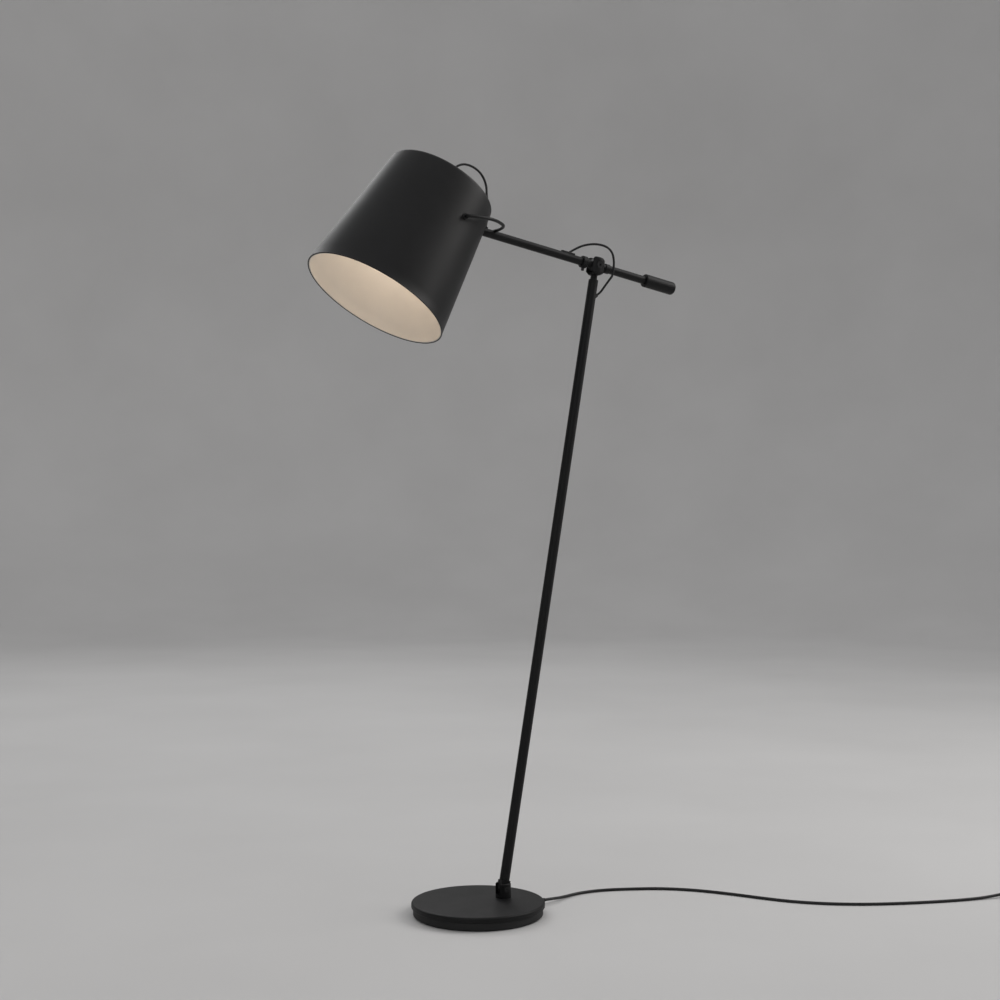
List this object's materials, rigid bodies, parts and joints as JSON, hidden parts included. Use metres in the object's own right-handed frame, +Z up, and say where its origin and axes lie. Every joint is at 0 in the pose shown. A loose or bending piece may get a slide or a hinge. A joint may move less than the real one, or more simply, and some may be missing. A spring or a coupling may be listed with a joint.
{
  "type": "adjustable arm floor lamp",
  "caption": "Floor lamp on a round weighted base: a leaning post, a tilting arm with a counterweight, and a conical shade hung from its end in a bent-rod yoke.",
  "frame": {"origin": "centre of the round base on the floor", "axes": "+Z up; the post, the arm and the shade lie in the plane Y = 0, with the shade towards -X and the counterweight towards +X"},
  "size_m": [1.3703, 0.658, 1.4092],
  "materials": {
    "black_metal": "matte black powder coat",
    "black_shade": "matte black lacquer on spun sheet",
    "cream_liner": "matte warm cream",
    "black_steel": "black oxide",
    "steel": "zinc-plated",
    "nickel": "bright nickel plate",
    "aluminium": "turned",
    "cast_iron": "black primer on the casting",
    "brass": "stamped",
    "black_rubber": "matte",
    "cable": "satin flexible sheath",
    "felt": "pressed felt",
    "nylon": "moulded",
    "black_plastic": "fine-textured moulding",
    "frosted_glass": "frosted"
  },
  "bodies": {
    "base": {"base_pad": "felt", "base_weight": "cast_iron", "base_plate": "black_metal", "base_screws": "steel", "foot_stud": "steel", "foot_nut": "steel", "foot_clevis": "black_metal", "foot_pivot_screws": "black_steel", "cord_gland": "black_rubber", "base_lead": "cable", "floor_cord": "cable", "switch_base": "black_plastic", "switch_cover": "black_plastic", "switch_contacts": "brass", "cord_to_coil": "cable", "coil_ring": "cable", "cord_to_plug": "cable", "plug_body": "black_plastic", "plug_pins": "nickel"},
    "post": {"post_foot": "black_metal", "post_tube": "black_metal", "post_cap": "black_metal", "post_grommet": "black_rubber", "post_lead": "cable", "joint_lead_side": "cable"},
    "head": {"knuckle_body": "black_metal", "tilt_screw": "black_steel", "tilt_nut": "black_steel", "friction_washers": "nylon", "spindle_nut": "steel"},
    "arm": {"arm_tube": "black_metal", "arm_hub": "black_metal", "left_collar": "black_metal", "right_collar": "black_metal", "lock_screw": "black_steel", "counterweight": "black_metal", "counterweight_screw": "steel", "arm_entry": "black_rubber", "arm_insert": "aluminium", "tip_grommet": "black_rubber", "arm_tip_cap": "black_metal", "arm_lead": "cable", "yoke": "black_metal", "yoke_nuts": "black_steel", "joint_lead_top": "cable"},
    "shade": {"shade_shell": "black_shade", "shade_liner": "cream_liner", "pivot_bushes": "black_plastic", "shade_nipple": "steel", "cable_gland": "black_plastic", "shade_nut": "steel", "lampholder": "black_plastic", "holder_ring": "black_plastic", "bulb_cap": "nickel", "bulb_glass": "frosted_glass", "shade_lead": "cable", "shade_lead_loop": "cable"},
    "button": {"switch_button": "black_plastic"}
  },
  "joints": [
    {"name": "post_tilt", "type": "hinge", "parent": "base", "child": "post", "pos_m": [0.0545, 0, 0.043], "axis": [0, 1, 0], "range_deg": [-10, 2]},
    {"name": "head_swivel", "type": "hinge", "parent": "post", "child": "head", "pos_m": [0.26427, 0, 1.23265], "axis": [0.1736, 0, 0.9848], "range_deg": [-60, 60], "deforming": ["joint_lead_side"]},
    {"name": "arm_tilt", "type": "hinge", "parent": "head", "child": "arm", "pos_m": [0.26427, 0, 1.23265], "axis": [0, 1, 0], "range_deg": [-30, 30], "deforming": ["joint_lead_top"]},
    {"name": "shade_tilt", "type": "hinge", "parent": "arm", "child": "shade", "pos_m": [-0.08923, 0, 1.28031], "axis": [0, 1, 0], "range_deg": [-45, 2], "deforming": ["shade_lead_loop"]},
    {"name": "switch_press", "type": "slide", "parent": "base", "child": "button", "axis": [0, 0, -1], "range_m": [0, 0.0025], "stiffness_N_per_m": 600}
  ]
}
